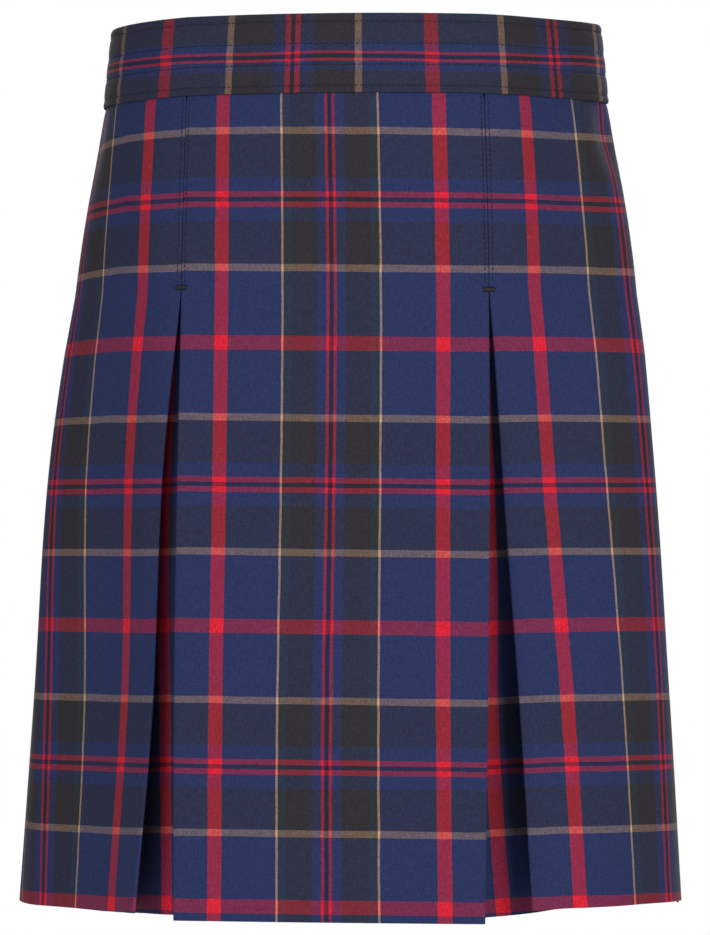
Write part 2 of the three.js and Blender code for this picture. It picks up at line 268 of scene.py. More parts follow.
def read_side(table, drop):
    """A side's sizes at one drop. A pleat is shut above its tack."""
    row = {name: read(column, drop) for name, column in table.items()}
    for name in ("across", "back", "swing"):
        row[name] = 0.0 if drop <= TACK_DROP else max(0.0, row[name])
    opened = min(1.0, max(0.0, (drop - TACK_DROP) / OPENING_RUN))
    row["slit"] = STITCHED_SLIT + (OPEN_SLIT - STITCHED_SLIT) * opened
    row["crease"] = STITCHED_CREASE * (1 - opened)
    return row


class Run:
    """Cloth seen end on: places in the plane as complex numbers, and the heading at each."""

    def __init__(self, at, heading):
        self.at = np.atleast_1d(np.asarray(at, complex))
        self.heading = np.broadcast_to(np.asarray(heading, float), self.at.shape).copy()

    def shifted(self, amount):
        return Run(self.at - 1j * amount * np.exp(1j * self.heading), self.heading)

    def backwards(self):
        return Run(self.at[::-1], self.heading[::-1])

    def first(self):
        return Run(self.at[:1], self.heading[:1])

    def last(self):
        return Run(self.at[-1:], self.heading[-1:])

    def carried(self, start, to, turn):
        return Run(to + (self.at - start) * np.exp(1j * turn), self.heading + turn)


def joined(runs):
    at = np.concatenate([r.at for r in runs])
    return Run(at, np.concatenate([r.heading for r in runs]))


def walk(at):
    """The length from a line's start to each of its points."""
    return np.concatenate(([0], np.cumsum(np.abs(np.diff(at)))))


def follow(start, heading_at, length, steps):
    """A run of a given length whose heading changes along it."""
    stride = length / steps / FINE
    middles = (np.arange(steps * FINE) + 0.5) * stride
    moves = np.cumsum(np.exp(1j * heading_at(middles)) * stride)
    at = start + np.concatenate(([0], moves))[::FINE]
    return Run(at, heading_at(np.arange(steps + 1) * FINE * stride))


def centre_curve(drop, row):
    start = -1j * read(FRONT["depth"], drop)
    turn = math.radians(row["edge"]) / row["panel"]
    return follow(start, lambda s: s * turn, row["panel"], CENTRE_STEPS)


def side_curve(start, row, length, steps):
    """The side panel from its folded edge towards the side seam."""
    stations = (0, NEAR_REACH, MID_REACH, FAR_REACH, CORNER_REACH, row["reach"])
    names = ("fold", "near", "mid", "far", "corner", "seam")
    headings = np.radians([row[name] for name in names])
    return follow(start, lambda s: np.interp(s, stations, headings), length, steps)


def fold_centre(edge, layer):
    """The middle of a fold that joins a layer of the pleat to the next one in."""
    return edge.shifted(-LAYER_PITCH * (layer + 0.5)).at[0]


def side_start(edge, row):
    """Where the side panel's folded edge stands, past the slit beside the centre panel's edge."""
    apart = LAYER_PITCH + CLOTH + row["slit"]
    along = apart * np.exp(1j * edge.heading[0])
    corner = fold_centre(edge, 0) + along + row["across"] + 1j * row["back"]
    return Run(corner, math.radians(row["fold"])).shifted(LAYER_PITCH / 2).at[0]


def round_fold(centre, start, end, sense, crease=0.0):
    """The round of a fold about its centre, from one layer to the next. A crease squares it."""
    first, last = np.angle(start - centre), np.angle(end - centre)
    if sense > 0 and last < first:
        last += 2 * math.pi
    if sense < 0 and last > first:
        last -= 2 * math.pi
    radius = (abs(start - centre) + abs(end - centre)) / 2
    angles = np.linspace(first, last, FOLD_STEPS + 1)[1:-1]
    turned = np.abs(np.exp(1j * (angles - first)).view(float).reshape(-1, 2)).max(axis=1)
    radius = radius / turned**crease
    return Run(centre + radius * np.exp(1j * angles), angles + sense * math.pi / 2)


def pressed_pleat(drop, table):
    """A pleat's hidden cloth pressed flat: two returns, an underlay and the centres of its folds."""
    row = read_side(table, drop)
    edge = centre_curve(drop, row).last()
    turn = math.radians(row["edge"]) / row["panel"]
    inner = follow(0, lambda s: turn * (row["panel"] - s), row["near_return"], RETURN_STEPS)
    inner = Run(edge.at[0] - inner.at, inner.heading)
    side = side_curve(side_start(edge, row), row, row["far_return"], RETURN_STEPS)
    return {
        "edge": edge,
        "near": inner.shifted(-LAYER_PITCH),
        "far": side.backwards().shifted(-LAYER_PITCH),
        "underlay": joined([inner.backwards(), side]).shifted(-2 * LAYER_PITCH),
        "folds": (
            fold_centre(edge, 0),
            fold_centre(inner.last(), 1),
            fold_centre(side.last(), 1),
            fold_centre(side.first(), 0),
        ),
    }


def points_at(at, places):
    """A line's points again, at given lengths along it."""
    walked = walk(at)
    return np.interp(places, walked, at.real) + 1j * np.interp(places, walked, at.imag)


def link_meeting(a, reach_a, b, reach_b):
    """Where two links of fixed length meet, on the inner side of the pleat."""
    apart = abs(b - a)
    along = (reach_a**2 - reach_b**2 + apart**2) / (2 * apart)
    aside = math.sqrt(max(0.0, reach_a**2 - along**2))
    return a + (along + 1j * aside) * (b - a) / apart


def seam_turn(run, sense):
    """The edge of a panel at a side seam, turned back inside and pressed flat against it."""
    end = run.last()
    inside = -SEAM_ROUND * sense
    centre = end.shifted(inside).at[0]
    behind = run.backwards().shifted(2 * inside)
    at = points_at(behind.at, np.linspace(0, ALLOWANCE, ALLOWANCE_STEPS + 1))
    return joined([round_fold(centre, end.at[0], at[0], sense), Run(at, 0.0)])


def half_front(drop, table):
    """Half of the front at one height, from the middle to the side seam and its allowance."""
    row = read_side(table, drop)
    centre = centre_curve(drop, row)
    edge = centre.last()
    start = side_start(edge, row)
    side = side_curve(start, row, row["reach"] - SEAM_ROUND - CLOTH / 2, SIDE_STEPS)
    pressed = pressed_pleat(min(drop, TACK_DROP), table)
    was_first, was_inner, was_outer, was_last = pressed["folds"]
    first = fold_centre(edge, 0)
    last = fold_centre(side.first(), 0)
    swing = edge.heading[0] - pressed["edge"].heading[0] - math.radians(row["swing"])
    inner = first + (was_inner - was_first) * np.exp(1j * swing)
    outer = link_meeting(inner, abs(was_outer - was_inner), last, abs(was_outer - was_last))
    near = pressed["near"].carried(was_first, first, swing)
    under_turn = np.angle(outer - inner) - np.angle(was_outer - was_inner)
    underlay = pressed["underlay"].carried(was_inner, inner, under_turn)
    far_turn = np.angle(outer - last) - np.angle(was_outer - was_last)
    far = pressed["far"].carried(was_last, last, far_turn)
    pieces = [
        centre,
        round_fold(first, edge.at[0], near.at[0], OUTWARD, row["crease"]),
        near,
        round_fold(inner, near.at[-1], underlay.at[0], INWARD),
        underlay,
        round_fold(outer, underlay.at[-1], far.at[0], INWARD),
        far,
        round_fold(last, far.at[-1], side.at[0], OUTWARD, row["crease"]),
        side,
        seam_turn(side, OUTWARD),
    ]
    return joined(pieces), across_cloth(pieces, row)


def across_cloth(pieces, row):
    """How far across the cloth each point of a half lies from the middle of the tartan."""
    walked = walk(np.concatenate([p.at for p in pieces]))
    ends = np.cumsum([len(p.at) for p in pieces])
    edge = walked[ends[0] - 1]
    middle = (walked[ends[3]] + walked[ends[4] - 1]) / 2
    second = walked[ends[7]]
    seen = row["second_edge"]
    stations = (0, row["wide"], edge, middle, second, second + 1000)
    under = UNDERLAY_MIDDLE + row["underlay"]
    places = (row["middle"], WARP_HALF, edge_place(row), under, seen, seen + 1000)
    return np.interp(walked, stations, places)


def edge_place(row):
    """Where the centre panel's folded edge lies across the cloth."""
    return WARP_HALF + row["panel"] - row["wide"]


def half_waist(table):
    """Half of the front's waist seam, from the middle to the side seam."""
    row = read_side(table, 0)
    centre = centre_curve(0, row)
    side = side_curve(side_start(centre.last(), row), row, row["reach"], SIDE_STEPS * 3)
    return np.concatenate([centre.at, side.at[1:]])


def mirrored(at, drift):
    """The left half of a line from its right half, without the point in the middle."""
    return drift - at.real[:0:-1] + 1j * at.imag[:0:-1]


def outward(at):
    """The outward direction at each point of a line, from its neighbours."""
    tangent = np.gradient(at)
    return -1j * tangent / np.abs(tangent)


def creased(at, across, drop, creases):
    """Moves a line of cloth in and out along its soft troughs and ridges."""
    amount = np.zeros(len(at))
    for c in creases:
        sideways = (across - c["at"] - c["lean"] * (drop - c["drop"])) / c["width"]
        downwards = (drop - c["drop"]) / c["length"]
        amount += c["depth"] * np.exp(-(sideways**2) - downwards**2)
    return at + amount * outward(at)


def front_line(drop):
    """The front at one height, from the left side seam to the right one, with its cloth places."""
    level = max(0.0, drop)
    drift = read(FRONT["drift"], level)
    left, left_across = half_front(level, LEFT_SIDE)
    right, right_across = half_front(level, RIGHT_SIDE)
    at = np.concatenate([mirrored(left.at, drift), right.at + drift])
    across = np.concatenate([-left_across[:0:-1], right_across])
    return creased(at, across, level, FRONT_CREASES), across


def seam_ends(drop):
    """The front's two side seams at one height, and the headings there."""
    drift = read(FRONT["drift"], drop)
    ends = []
    for table in (LEFT_SIDE, RIGHT_SIDE):
        row = read_side(table, drop)
        edge = centre_curve(drop, row).last()
        side = side_curve(side_start(edge, row), row, row["reach"], SIDE_STEPS)
        ends.append((side.at[-1], side.heading[-1]))
    (left, left_heading), (right, right_heading) = ends
    return drift - left.real + 1j * left.imag, -left_heading, right + drift, right_heading


def hermite(a, a_lead, b, b_lead, t):
    """A smooth curve from a to b that leaves and arrives along the leads."""
    return (
        (2 * t**3 - 3 * t**2 + 1) * a
        + (t**3 - 2 * t**2 + t) * a_lead
        + (3 * t**2 - 2 * t**3) * b
        + (t**3 - t**2) * b_lead
    )


def back_curve(ends, depth, steps):
    """The bare line of the back, from the right side seam round to the left one."""
    left, left_heading, right, right_heading = ends
    middle = (left.real + right.real) / 2 + 1j * depth
    reach_out = BACK_FULLNESS * (depth - (left.imag + right.imag) / 2)
    reach_across = BACK_FULLNESS * (right.real - left.real) / 2
    t = np.linspace(0, 1, steps // 2 + 1)
    lead_in = reach_out * np.exp(1j * right_heading)
    lead_out = reach_out * np.exp(1j * left_heading)
    first = hermite(right, lead_in, middle, -reach_across, t)
    second = hermite(middle, -reach_across, left, lead_out, t)
    return np.concatenate([first, second[1:]])


def even(at, count, trim=0.0):
    """A line's points again, evenly spaced and a little short of both ends."""
    return points_at(at, np.linspace(trim, walk(at)[-1] - trim, count))


def seam_fade(share):
    """One over most of a piece, falling to nothing at both side seams."""
    return np.minimum(1, SEAM_FADE * np.minimum(share, 1 - share))


def waves(share, terms):
    """A sum of sine waves along a piece, each with its height, its count and its start."""
    return sum(height * np.sin(2 * math.pi * count * share + start) for height, count, start in terms)


def gathers(share, drop):
    """Soft gathers below the elastic, uneven in size, that fade out downwards."""
    uneven = 0.75 + waves(share, GATHER_UNEVEN)
    reach = GATHER_FADE * (0.8 + waves(share, GATHER_REACH))
    wave = np.sin(2 * math.pi * GATHER_COUNT * share + waves(share, GATHER_WANDER))
    return GATHER_DEPTH * uneven * wave * np.exp(-drop / reach)


def back_line(drop):
    """The back at one height, from the right side seam to the left one, with its cloth places."""
    level = max(0.0, drop)
    line = back_curve(seam_ends(level), read(BACK_DEPTH, level), BACK_POINTS)
    share = np.linspace(0, 1, len(line))
    swell = gathers(share, level)
    growth = (level / BODY_LENGTH) ** BACK_FOLD_GROWTH
    for fold in BACK_FOLDS:
        swell += fold["depth"] * growth * np.exp(-(((share - fold["place"]) / fold["width"]) ** 2))
    line = line + swell * seam_fade(share) * outward(line)
    line = even(line, BACK_POINTS, SEAM_ROUND + CLOTH / 2 + SEAM_GAP)
    walked = walk(line)
    across = walked[-1] / 2 - walked
    line = creased(line, across, level, BACK_CREASES)
    heading = np.angle(np.gradient(line))
    after = seam_turn(Run(line, heading), OUTWARD)
    before = seam_turn(Run(line[::-1], heading[::-1] + math.pi), INWARD)
    at = np.concatenate([before.at[::-1], line, after.at])
    return at, side_places(at, across[0], len(before.at))


def side_places(at, start, number):
    """Cloth places along a line, counted down from start at the point with this number."""
    walked = walk(at)
    return start - (walked - walked[number])


# How much higher the hem hangs than at the centre, by the place across the cloth
HEM_LIFT = {
    "left": (0, 0, -1.0, -1.8, -1.0, 0.6, 1.5, 0.9, 0.3, 0.2, 0, 0),
    "right": (0, 0.2, 2.2, 3.4, 4.6, 4.7, 4.8, 5.9, 6.1, 6.4, 6.0, 2.0),
    "across": (0, 150, 177, 190, 205, 235, 249, 262, 278, 305, 335, 386),
}
SEAM_LIFT = 2.0
SEAM_LIFT_REACH = 60.0

# How far the lines across the cloth sink on each side panel, at the drops of the front's sections
CENTRE_EDGE = 73.5
SIDE_WEFT = (
    {"across": 249, "left": (0.0, -0.4, 0.5, 1.3, 3.1), "right": (0.8, 0.9, 1.0, 2.3, 4.2)},
    {"across": 285, "left": (0.5, -0.6, 0.5, 1.4, 3.6), "right": (0.6, 0.9, 1.1, 2.6, 5.1)},
    {"across": 318, "left": (3.0, 1.3, 1.0, 1.7, 4.1), "right": (0.1, 1.0, 1.3, 3.0, 5.9)},
    {"across": 335, "left": (4.6, 2.8, 1.6, 1.8, 4.2), "right": (0.0, 1.1, 1.4, 3.2, 6.3)},
)
RED_DOUBLE_ABOVE_HEM = 73.4

# How much lower the waist lies at the sides, between two distances from the middle
WAIST_DIP = {"left": 1.8, "right": 0.8, "from": 70.0, "to": 118.0, "fade": 130.0}


def hem_lift(across, drop):
    """How much higher the front hangs at each place, most at the hem."""
    left = np.interp(-across, HEM_LIFT["across"], HEM_LIFT["left"])
    right = np.interp(across, HEM_LIFT["across"], HEM_LIFT["right"])
    return np.where(across < 0, left, right) * max(0.0, drop / BODY_LENGTH) ** 2


def back_hem_lift(across, drop):
    """The back's hem follows the front's at the right side seam and falls level beyond it."""
    seam = across.max() - ALLOWANCE
    lift = np.interp(across, (seam - SEAM_LIFT_REACH, seam), (0.0, SEAM_LIFT))
    return lift * max(0.0, drop / BODY_LENGTH) ** 2


def waist_dip(x, drop):
    """How much lower the cloth lies at the sides, most at the waist."""
    stations = (WAIST_DIP["from"], WAIST_DIP["to"])
    left = np.interp(-x, stations, (0.0, WAIST_DIP["left"]))
    right = np.interp(x, stations, (0.0, WAIST_DIP["right"]))
    return (left + right) * max(0.0, 1 - max(0.0, drop) / WAIST_DIP["fade"]) ** 2


def up_cloth(across, drop):
    """How far up the cloth each point lies from the tartan's lowest red double line."""
    level = max(0.0, drop)
    tilt = read(FRONT["weft_tilt"], level)
    lowered = read(FRONT["weft_down"], level)
    stations = (0, CENTRE_EDGE, *(place["across"] for place in SIDE_WEFT))
    for side, sign in (("left", -1), ("right", 1)):
        values = (0, sign * tilt, *(read(place[side], level) for place in SIDE_WEFT))
        lowered = lowered + np.interp(sign * across, stations, values)
    return BODY_LENGTH - drop - RED_DOUBLE_ABOVE_HEM + lowered


def body_rows():
    """The drops at which the body has points, closest at the waist seam, the tack and the hem."""
    near_waist = (-TUCK_UP, -1.6, -0.6, 0.0, 0.5, 1.0, 1.7, 2.6, 4.0, 6.0, 8.5)
    turn_up = BODY_LENGTH - TURN_UP
    plain = np.arange(12.0, turn_up - 1, ROW_STEP)
    near_hem = np.linspace(turn_up + 3, BODY_LENGTH - 2.0, 9)
    radius = (CLOTH + TURN_UP_THICK) / 2
    rounding = [BODY_LENGTH - radius * (1 - math.sin(a)) for a in np.radians((0, 30, 55, 75, 86))]
    step = (turn_up - TURN_UP_EDGE, turn_up + TURN_UP_EDGE)
    return sorted({*near_waist, *plain, *step, *near_hem, *rounding})


def wall_offsets(drop):
    """How far the outer and inner faces of the cloth lie from its middle line."""
    outer, inner = CLOTH / 2, -CLOTH / 2
    if drop > BODY_LENGTH - TURN_UP:
        inner -= TURN_UP_THICK
    radius = (outer - inner) / 2
    from_edge = BODY_LENGTH - drop
    if from_edge < radius:
        half = math.sqrt(max(0.0, radius**2 - (radius - from_edge) ** 2))
        middle = (outer + inner) / 2
        outer, inner = middle + half, middle - half
    drawn_in = DRAWN_IN * math.exp(-max(0.0, drop) / DRAWN_IN_FADE)
    return outer - drawn_in, inner - drawn_in


def painted_edge_highlight(across, drop):
    """Where a side panel's folded edge gets a painted highlight, a narrow lighter line of colour."""
    painted_highlight = np.zeros(len(across))
    for table, sign in ((RIGHT_SIDE, 1), (LEFT_SIDE, -1)):
        row = read_side(table, max(0.0, drop))
        past = sign * across - row["second_edge"] + HIGHLIGHT_BEFORE
        # Mask of the painted highlight: a narrow band just before the folded edge
        painted_highlight += row["painted_highlight"] * np.exp(-((past / HIGHLIGHT_WIDTH) ** 2))
    return painted_highlight


def placed(at, z):
    """Points in metres from places in the plane and their height."""
    return np.stack([at.real, at.imag, np.broadcast_to(z, at.shape)], axis=-1) * MM


def body_grids(line_at, lift_at):
    """Grids of a body panel: its outer face, its inner face and its places on the cloth."""
    outer, inner, cloth = [], [], []
    for drop in body_rows():
        at, across = line_at(drop)
        out = outward(at)
        outside, inside = wall_offsets(drop)
        z = WAIST_Z - drop + lift_at(across, drop) - waist_dip(at.real, drop)
        outer.append(placed(at + outside * out, z))
        inner.append(placed(at + inside * out, z))
        # The third value carries the painted highlight along a folded edge
        cloth.append(np.stack([across, up_cloth(across, drop), painted_edge_highlight(across, drop)], axis=-1))
    return np.array(outer), np.array(inner), np.array(cloth)


# Meshes
def wall_faces(rows, columns, strip_caps):
    """Faces of a closed wall from two grids, outer then inner, whose rows run from top to bottom."""
    grid = np.arange(2 * rows * columns).reshape(2, rows, columns)
    out, inn = grid

    def quads(a, b, c, d):
        return np.stack([a.ravel(), b.ravel(), c.ravel(), d.ravel()], axis=-1).tolist()

    faces = quads(out[:-1, :-1], out[1:, :-1], out[1:, 1:], out[:-1, 1:])
    faces += quads(inn[:-1, :-1], inn[:-1, 1:], inn[1:, 1:], inn[1:, :-1])
    faces += quads(inn[0, :-1], out[0, :-1], out[0, 1:], inn[0, 1:])
    faces += quads(out[-1, :-1], inn[-1, :-1], inn[-1, 1:], out[-1, 1:])
    if strip_caps:
        faces += quads(inn[:-1, 0], inn[1:, 0], out[1:, 0], out[:-1, 0])
        faces += quads(out[:-1, -1], out[1:, -1], inn[1:, -1], inn[:-1, -1])
    else:
        faces.append([*inn[:, 0].tolist(), *out[::-1, 0].tolist()])
        faces.append([*out[:, -1].tolist(), *inn[::-1, -1].tolist()])
    return faces


def make_object(name, points, faces, material, sharp=50):
    """A smooth mesh whose edges stay sharp where its faces turn by more than an angle."""
    mesh = bpy.data.meshes.new(name)
    mesh.from_pydata(points.reshape(-1, 3).tolist(), [], faces)
    mesh.polygons.foreach_set("use_smooth", [True] * len(mesh.polygons))
    mesh.set_sharp_from_angle(angle=math.radians(sharp))
    mesh.materials.append(material)
    piece = bpy.data.objects.new(name, mesh)
    bpy.context.scene.collection.objects.link(piece)
    return piece


def make_wall(name, outer, inner, cloth, material, strip_caps=True):
    """A closed wall of cloth that carries its places on the flat cloth."""
    rows, columns = outer.shape[:2]
    faces = wall_faces(rows, columns, strip_caps)
    piece = make_object(name, np.concatenate([outer, inner]), faces, material)
    places = np.zeros((2, rows, columns, 3), np.float32)
    places[..., :cloth.shape[-1]] = cloth
    layer = piece.data.attributes.new("cloth", "FLOAT_VECTOR", "POINT")
    layer.data.foreach_set("vector", places.ravel())
    return piece


def settle(piece, slot_name, *nodes):
    """Ties a piece to the frame: its body and the nodes that it stands for. Its finish, slot_name, is
    not used.
    """
    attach(piece, "root")
    if nodes:
        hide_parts(*nodes)


# Waistband: where its faces lie from the seam line, how it swells between its rows of stitches,
# and the slot in its lower edge that the body is tucked up into
BAND_TOP_SCALE = 0.968
BAND_FACE = 0.85
BAND_BACK = 1.65
BAND_PUFF = 0.26
STITCH_DIP = 0.32
DIP_WIDTH = 1.1
BAND_EDGE_ROUND = 0.5
SLOT = 0.32
SLOT_SPARE = 0.4

# Where the band has rows of points: near its top, between its edges and beside its stitches
ROWS_NEAR_TOP = (1.9, 2.6)
ROWS_FROM_TOP = 1.6
ROWS_FROM_BOTTOM = 0.8
BESIDE_STITCHES = (-1.0, -0.5, 0.0, 0.5, 1.0)

# The tartan on the band is cut across: where its red double lines run down and along it
RED_BELOW_TOP = 20.0
BAND_RED_PLACE = -17.2

# How far the red double line wanders down the band, by the place along it
RED_WANDER = {
    "along": (-115, -95, -65, -35, 0, 38, 66, 98, 112, 135),
    "down": (-0.4, 0.0, 0.4, 0.85, 0.35, 0.85, 1.25, 0.4, 0.1, -1.2),
}


def band_profile():
    """Rows of the band: depth below its top, offsets of its faces, and how full it is there."""
    thick = BAND_FACE + BAND_BACK
    middle = (BAND_FACE - BAND_BACK) / 2
    rows = []
    for angle in np.radians((8, 25, 45, 65, 85)):
        depth = thick / 2 * (1 - math.cos(angle))
        half = thick / 2 * math.sin(angle)
        rows.append((depth, middle + half, middle - half, 0.0))
    marks = set(ROWS_NEAR_TOP)
    edges = (ROWS_FROM_TOP, *BAND_STITCH_DEPTHS, BAND_HEIGHT - ROWS_FROM_BOTTOM)
    for above, below in zip(edges, edges[1:]):
        count = 7 if below - above > 6 else 4
        marks.update(np.linspace(above, below, count)[1:-1])
    for depth in BAND_STITCH_DEPTHS:
        marks.update(depth + beside for beside in BESIDE_STITCHES)
    for depth in sorted(marks):
        rows.append((depth, BAND_FACE + band_puff(depth), -BAND_BACK, band_fullness(depth)))
    for angle in np.radians((10, 35, 60, 90)):
        depth = BAND_HEIGHT - BAND_EDGE_ROUND * (1 - math.sin(angle))
        rounded = BAND_EDGE_ROUND * (1 - math.cos(angle))
        rows.append((depth, BAND_FACE - rounded, -BAND_BACK + rounded, 0.0))
    rows.append((BAND_HEIGHT, SLOT, -SLOT, 0.0))
    rows.append((BAND_HEIGHT - TUCK_UP - SLOT_SPARE, SLOT, -SLOT, 0.0))
    return rows


def band_puff(depth):
    """The band swells between its rows of stitches and dips along each."""
    puff = BAND_PUFF * band_fullness(depth)
    for row in BAND_STITCH_DEPTHS:
        puff -= STITCH_DIP * math.exp(-(((depth - row) / DIP_WIDTH) ** 2))
    return puff


def band_fullness(depth):
    """Nothing at each row of stitches and at both edges, one halfway between them."""
    edges = (0.0, *BAND_STITCH_DEPTHS, BAND_HEIGHT)
    for above, below in zip(edges, edges[1:]):
        if above <= depth <= below:
            return math.sin(math.pi * (depth - above) / (below - above)) ** 0.7
    return 0.0


def band_grids(line, along, ruck_at):
    """Grids of a band from its line at the waist seam, which leans in toward the top."""
    outer, inner, cloth = [], [], []
    red = RED_BELOW_TOP + np.interp(along, RED_WANDER["along"], RED_WANDER["down"])
    for depth, face, back, full in band_profile():
        at = line * (1 - (1 - BAND_TOP_SCALE) * (1 - depth / BAND_HEIGHT))
        out = outward(at)
        z = BAND_TOP_Z - depth - waist_dip(at.real, 0.0)
        if face > SLOT:
            face = face + ruck_at(along, depth, full)
        outer.append(placed(at + face * out, z))
        inner.append(placed(at + back * out, z))
        cloth.append(np.stack([depth - red, along - BAND_RED_PLACE], axis=-1))
    return np.array(outer), np.array(inner), np.array(cloth)


def waist_front():
    """The waist seam's line across the front, and how far each point is from its middle."""
    left, right = half_waist(LEFT_SIDE), half_waist(RIGHT_SIDE)
    line = np.concatenate([mirrored(left, 0), right])
    middle = np.abs(np.diff(left)).sum()
    line = even(line, BAND_POINTS, SEAM_GAP / 2)
    return line, walk(line) - middle


def waist_back():
    """The waist seam's line across the back, and how far each point is from its right end."""
    line = back_curve(seam_ends(0), BACK_DEPTH[0], BACK_BAND_POINTS)
    line = even(line, BACK_BAND_POINTS, SEAM_GAP / 2)
    return line, walk(line)


def slight_rucks(along, depth, full):
    """The front band lies nearly flat: faint ripples that pull along the stitch rows."""
    ripple = np.sin(along * 0.41 + 0.13 * depth) * np.sin(along * 0.097 + 1.3)
    return FRONT_RUCK_DEPTH * ripple * (0.4 + full)


def elastic_rucks(along, depth, full):
    """The back band over its elastic: uneven rucks, fuller between the rows of stitches."""
    share = along / along[-1]
    wander = waves(share, ((0.8, 5.3, 0.05 * depth), (0.5, 11.7, -0.11 * depth)))
    wave = np.sin(math.pi * RUCK_COUNT * share + wander) ** 2
    uneven = 0.75 + waves(share, RUCK_UNEVEN)
    return RUCK_DEPTH * uneven * wave * (0.35 + 0.65 * full) * seam_fade(share)


# Threads
def resampled(points, normals, places):
    """A line in space and its normals again, at given lengths along it."""
    walked = np.concatenate(([0], np.cumsum(np.linalg.norm(np.diff(points, axis=0), axis=1))))
    at = np.stack([np.interp(places, walked, points[:, k]) for k in range(3)], axis=-1)
    up = np.stack([np.interp(places, walked, normals[:, k]) for k in range(3)], axis=-1)
    return at, up / np.linalg.norm(up, axis=-1, keepdims=True)


def thread_rings(middle, up, side, thick):
    """Rings of points round short threads, from their middle lines."""
    angles = np.arange(STITCH_SIDES) * 2 * math.pi / STITCH_SIDES
    ring = side[:, :, None] * np.cos(angles)[:, None] + up[:, :, None] * np.sin(angles)[:, None]
    return middle[:, :, None] + ring * (thick * MM)[None, :, None, None]


def stitch_row(points, normals, rng):
    """Points of a row of stitches, each a short thread that dives into the cloth at both ends."""
    total = np.linalg.norm(np.diff(points, axis=0), axis=1).sum() / MM
    count = int(total / STITCH_PITCH)
    middles = (np.arange(count) + 0.5) * STITCH_PITCH
    middles = middles + rng.uniform(-STITCH_SHIFT, STITCH_SHIFT, count)
    t = np.linspace(0, 1, STITCH_RINGS)
    lengths = STITCH_LENGTH * rng.uniform(*STITCH_LENGTHS, count)
    places = (middles[:, None] + lengths[:, None] * (t - 0.5)) * MM
    at, up = resampled(points, normals, places)
    along = np.gradient(at, axis=1)
    along /= np.linalg.norm(along, axis=-1, keepdims=True)
    side = np.cross(along, up)
    arch = np.sin(math.pi * t)
    rise = (STITCH_RADIUS * (STITCH_ARCH * arch**0.6 - STITCH_SUNK))[None, :, None] * MM
    skew = rng.uniform(-STITCH_SKEW, STITCH_SKEW, (count, 1, 1)) * (t - 0.5)[None, :, None] * MM
    return thread_rings(at + up * rise + side * skew, up, side, STITCH_RADIUS * (0.7 + 0.3 * arch))


def bar_tack(centre, along, up, rng):
    """A short dense bar of zigzag threads over the foot of a stitched pleat."""
    t = np.linspace(0, 1, STITCH_RINGS)
    arch = np.sin(math.pi * t)
    places = np.linspace(-TACK_LENGTH / 2, TACK_LENGTH / 2, TACK_THREADS)
    slant = TACK_SLANT * np.where(np.arange(TACK_THREADS) % 2, 1, -1)
    widths = TACK_WIDTH * rng.uniform(*TACK_WIDTHS, TACK_THREADS)
    down = np.cross(along, up)
    sideways = places[:, None] + slant[:, None] * (t - 0.5)
    lengthways = widths[:, None] * (t - 0.5)
    rise = TACK_RAISED * (arch**0.7) * np.cos(places / TACK_LENGTH * 2)[:, None]
    middle = centre + MM * (
        sideways[..., None] * along + lengthways[..., None] * down + rise[..., None] * up
    )
    side = np.broadcast_to(along, middle.shape)
    thick = TACK_THREAD_RADIUS + TACK_SWELL * arch
    return thread_rings(middle, np.broadcast_to(up, middle.shape), side, thick)


def stitches(name, rows, slot_name):
    """One joined mesh of rows of stitches."""
    rings = np.concatenate(rows)
    count = len(rings)
    index = np.arange(count * STITCH_RINGS * STITCH_SIDES)
    index = index.reshape(count, STITCH_RINGS, STITCH_SIDES)
    after = np.roll(index, -1, axis=2)
    sides = np.stack([index[:, :-1], after[:, :-1], after[:, 1:], index[:, 1:]], axis=-1)
    faces = sides.reshape(-1, 4).tolist()
    faces += index[:, 0, ::-1].tolist() + index[:, -1].tolist()
    settle(make_object(name, rings, faces, THREAD_DARK, sharp=80), slot_name)


def surface_row(drops, goals):
    """A line down the front's outer face, through a place across the cloth at each drop."""
    points, normals = [], []
    for drop, goal in zip(drops, goals):
        at, places = front_line(drop)
        out = outward(at)
        order = np.argsort(places)
        places, at, out = places[order], at[order], out[order]
        here = np.interp(goal, places, at.real) + 1j * np.interp(goal, places, at.imag)
        way = np.interp(goal, places, out.real) + 1j * np.interp(goal, places, out.imag)
        outside, _ = wall_offsets(drop)
        z = WAIST_Z - drop - waist_dip(here.real, drop)
        points.append(placed(np.array(here + outside * way), z))
        normals.append((way.real, way.imag, 0.0))
    return np.array(points), np.array(normals)


# Shader nodes
class Value:
    """A number that varies over a surface. Arithmetic on it adds Math nodes."""

    def __init__(self, nodes, socket):
        self.nodes, self.socket = nodes, socket

    def math(self, operation, *others):
        inputs = dict(enumerate((self, *others)))
        return self.nodes.add("Math", {"operation": operation}, inputs)

    def __add__(self, other):
        return self.math("ADD", other)

    __radd__ = __add__

    def __sub__(self, other):
        return self.math("SUBTRACT", other)

    def __rsub__(self, other):
        return self.math("MULTIPLY_ADD", -1.0, other)

    def __mul__(self, other):
        return self.math("MULTIPLY", other)

    __rmul__ = __mul__

    def __truediv__(self, other):
        return self.math("DIVIDE", other)


